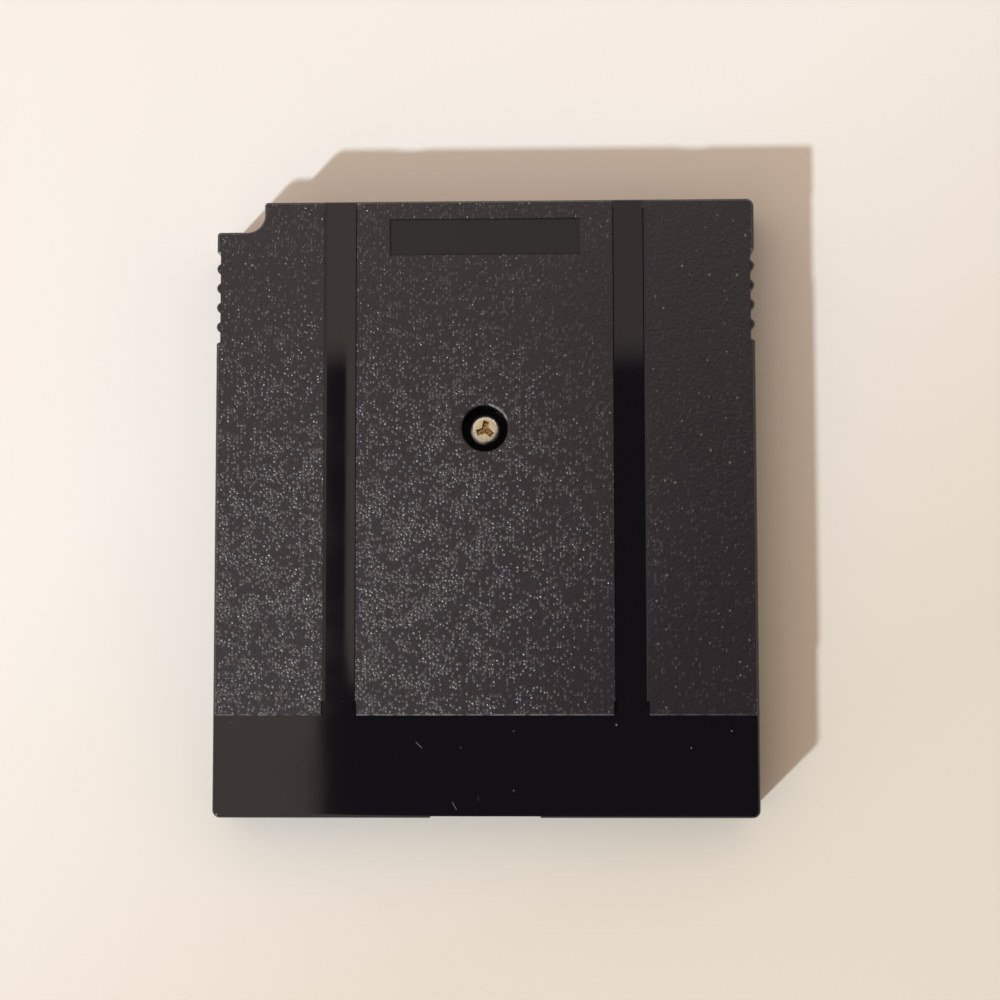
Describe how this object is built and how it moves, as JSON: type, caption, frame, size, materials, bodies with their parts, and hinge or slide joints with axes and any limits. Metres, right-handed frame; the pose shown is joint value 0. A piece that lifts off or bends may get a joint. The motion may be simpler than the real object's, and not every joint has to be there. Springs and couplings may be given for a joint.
{
  "type": "game cartridge",
  "caption": "Flat moulded game cartridge with a stepped corner, grip ribs, guide grooves and an open mouth over a circuit board's edge contacts, closed by a sunk screw.",
  "frame": {"origin": "centre of the outline on the front face, which lies on the surface", "axes": "+X across the case, +Y from the mouth to the stepped top edge, +Z out of the rear face"},
  "size_m": [0.057, 0.065, 0.0075],
  "materials": {
    "front_plastic": "fine moulded grain",
    "rear_plastic": "coarse moulded grain on the panels, smooth low surfaces",
    "screw_brass": "worn plated brass",
    "board_laminate": "solder mask over laminate",
    "contact_gold": "gold plate with wiping marks",
    "package_resin": "moulded resin",
    "lead_tin": "tin plate",
    "cell_steel": "drawn stainless can",
    "tab_nickel": "nickel strip with weld spots",
    "capacitor_ceramic": "fired ceramic",
    "resistor_ceramic": "glazed film over ceramic",
    "plated_ends": "tin plate"
  },
  "bodies": {
    "root": {"front_shell": "front_plastic", "rear_shell": "rear_plastic", "case_screw": "screw_brass", "circuit_board": "board_laminate", "edge_contacts": "contact_gold", "program_memory": "package_resin", "program_memory_leads": "lead_tin", "bank_controller": "package_resin", "bank_controller_leads": "lead_tin", "save_memory": "package_resin", "save_memory_leads": "lead_tin", "power_monitor": "package_resin", "power_monitor_leads": "lead_tin", "battery_cell": "cell_steel", "battery_top_tab": "tab_nickel", "battery_base_tab": "tab_nickel", "capacitors": "capacitor_ceramic", "capacitor_ends": "plated_ends", "resistors": "resistor_ceramic", "resistor_ends": "plated_ends"}
  },
  "joints": []
}
